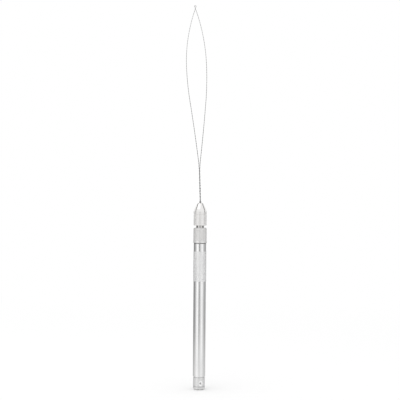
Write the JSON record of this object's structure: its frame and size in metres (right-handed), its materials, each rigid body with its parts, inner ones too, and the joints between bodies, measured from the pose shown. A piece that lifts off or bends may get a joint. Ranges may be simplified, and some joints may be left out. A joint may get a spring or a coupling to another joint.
{
  "type": "loop threader",
  "caption": "Pen-shaped loop threader: a turned aluminium handle with a knurled grip, a screw-closed jaw chuck and a springy twisted-wire loop with a small eye at its tip.",
  "frame": {"origin": "centre of the knurled grip, on the tool's axis, where a hand holds it", "axes": "+Z along the tool's axis from the tail to the loop's tip, +X to the right in the plane of the loop, +Y out of that plane, away from the viewer"},
  "size_m": [0.0138, 0.0086, 0.2437],
  "materials": {
    "polished_aluminium": "turned and polished",
    "knurled_aluminium": "knurled, satin",
    "plated_chuck": "nickel plated, turned and slotted",
    "wire_steel": "bright drawn stainless wire, twisted"
  },
  "bodies": {
    "handle": {"barrel": "polished_aluminium", "tail_plug": "polished_aluminium"},
    "collar": {"lock_collar": "knurled_aluminium"},
    "chuck": {"chuck_stem": "plated_chuck"},
    "jaw_1": {"chuck_jaw_1": "plated_chuck"},
    "jaw_2": {"chuck_jaw_2": "plated_chuck"},
    "jaw_3": {"chuck_jaw_3": "plated_chuck"},
    "jaw_4": {"chuck_jaw_4": "plated_chuck"},
    "wire": {"wire_ferrule": "wire_steel", "wire_shank": "wire_steel"},
    "left_lower": {"strand_left_lower": "wire_steel"},
    "left_upper": {"strand_left_upper": "wire_steel"},
    "right_lower": {"strand_right_lower": "wire_steel"},
    "right_upper": {"strand_right_upper": "wire_steel"},
    "tip": {"loop_tip": "wire_steel"}
  },
  "joints": [
    {"name": "collar_turn", "type": "hinge", "parent": "handle", "child": "collar", "pos_m": [0, 0, 0.01483], "axis": [0, 0, 1], "range_deg": [0, 541]},
    {"name": "chuck_feed", "type": "slide", "parent": "collar", "child": "chuck", "axis": [0, 0, 1], "range_m": [0, 0.00105]},
    {"name": "jaw_1_flex", "type": "hinge", "parent": "chuck", "child": "jaw_1", "pos_m": [0.00212, 0, 0.018], "axis": [0, 1, 0], "range_deg": [0, 1.5]},
    {"name": "jaw_2_flex", "type": "hinge", "parent": "chuck", "child": "jaw_2", "pos_m": [0, 0.00212, 0.018], "axis": [-1, 0, 0], "range_deg": [0, 1.5]},
    {"name": "jaw_3_flex", "type": "hinge", "parent": "chuck", "child": "jaw_3", "pos_m": [-0.00212, 0, 0.018], "axis": [0, -1, 0], "range_deg": [0, 1.5]},
    {"name": "jaw_4_flex", "type": "hinge", "parent": "chuck", "child": "jaw_4", "pos_m": [0, -0.00212, 0.018], "axis": [1, 0, 0], "range_deg": [0, 1.5]},
    {"name": "wire_draw", "type": "slide", "parent": "chuck", "child": "wire", "axis": [0, 0, 1], "range_m": [0, 0.012]},
    {"name": "loop_squeeze", "type": "hinge", "parent": "wire", "child": "left_lower", "pos_m": [-0.00128, 0, 0.06604], "axis": [0, 1, 0], "range_deg": [0, 4.5], "stiffness_Nm_per_rad": 0.002},
    {"name": "right_squeeze", "type": "hinge", "parent": "wire", "child": "right_lower", "pos_m": [-0.00034, 0, 0.06607], "axis": [0, -1, 0], "range_deg": [0, 4.6]},
    {"name": "left_bend", "type": "hinge", "parent": "left_lower", "child": "left_upper", "pos_m": [-0.00921, 0, 0.12688], "axis": [0, -1, 0], "range_deg": [0, 12.4]},
    {"name": "right_bend", "type": "hinge", "parent": "right_lower", "child": "right_upper", "pos_m": [0.00353, 0, 0.1273], "axis": [0, 1, 0], "range_deg": [0, 12.4]},
    {"name": "tip_bend", "type": "hinge", "parent": "left_upper", "child": "tip", "pos_m": [-0.00444, 0, 0.16237], "axis": [0, 1, 0], "range_deg": [0, 7.9]}
  ],
  "couplings": [
    {"joint": "collar_turn", "follows": "chuck_feed", "rad_per_m": 8976},
    {"joint": "jaw_1_flex", "follows": "chuck_feed", "rad_per_m": 23.271},
    {"joint": "jaw_2_flex", "follows": "chuck_feed", "rad_per_m": 23.271},
    {"joint": "jaw_3_flex", "follows": "chuck_feed", "rad_per_m": 23.271},
    {"joint": "jaw_4_flex", "follows": "chuck_feed", "rad_per_m": 23.271},
    {"joint": "right_squeeze", "follows": "loop_squeeze", "ratio": 1},
    {"joint": "left_bend", "follows": "loop_squeeze", "ratio": 2.7194},
    {"joint": "right_bend", "follows": "loop_squeeze", "ratio": 2.7194},
    {"joint": "tip_bend", "follows": "loop_squeeze", "ratio": 1.7194}
  ]
}
